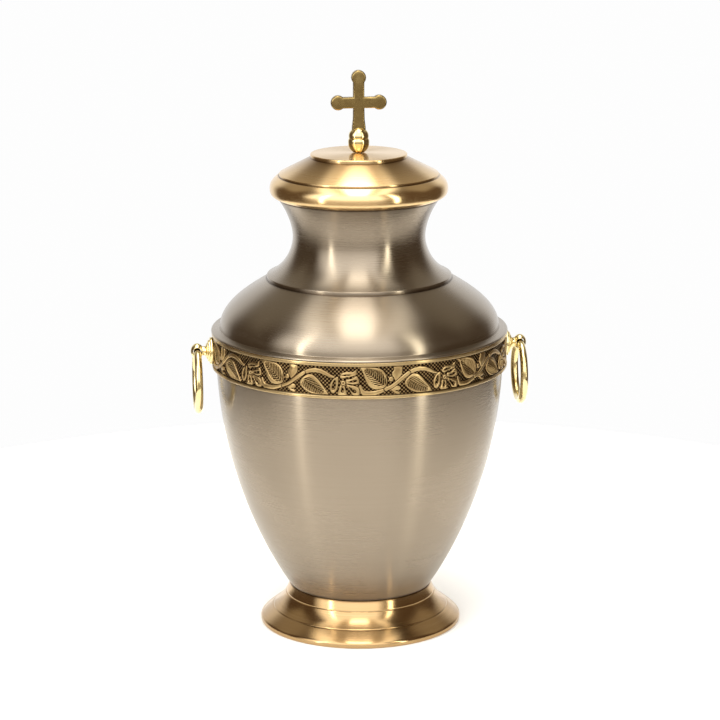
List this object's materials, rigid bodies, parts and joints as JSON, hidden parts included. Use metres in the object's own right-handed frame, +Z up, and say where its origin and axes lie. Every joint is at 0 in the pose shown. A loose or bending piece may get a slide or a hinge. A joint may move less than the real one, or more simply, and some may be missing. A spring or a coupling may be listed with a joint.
{
  "type": "cremation urn",
  "caption": "Footed keepsake urn with a flared neck, a carved leaf band, drop-ring handles and a lift-off lid with a cross finial.",
  "frame": {"origin": "centre of the foot's underside, on the plane the urn stands on", "axes": "+Z up along the turning axis; the ring handles are at +X and -X; the cross faces -Y"},
  "size_m": [0.2138, 0.1872, 0.3551],
  "materials": {
    "vessel": "brushed pewter-coloured plating",
    "foot": "fine turned, lacquered",
    "ornament_band": "cast, antiqued dark in the ground",
    "lid": "fine turned, lacquered",
    "cross_finial": "polished",
    "handle_boss_right": "polished",
    "handle_boss_left": "polished",
    "ring_right": "polished",
    "ring_left": "polished"
  },
  "bodies": {
    "urn": {"vessel": "vessel", "foot": "foot", "ornament_band": "ornament_band", "lid": "lid", "cross_finial": "cross_finial", "handle_boss_right": "handle_boss_right", "handle_boss_left": "handle_boss_left"},
    "right_ring": {"ring_right": "ring_right"},
    "left_ring": {"ring_left": "ring_left"}
  },
  "joints": [
    {"name": "right_ring_swing", "type": "hinge", "parent": "urn", "child": "right_ring", "pos_m": [0.1028, 0, 0.17955], "axis": [0, -1, 0], "range_deg": [-15, 200]},
    {"name": "left_ring_swing", "type": "hinge", "parent": "urn", "child": "left_ring", "pos_m": [-0.1028, 0, 0.17955], "axis": [0, 1, 0], "range_deg": [-15, 200]}
  ]
}
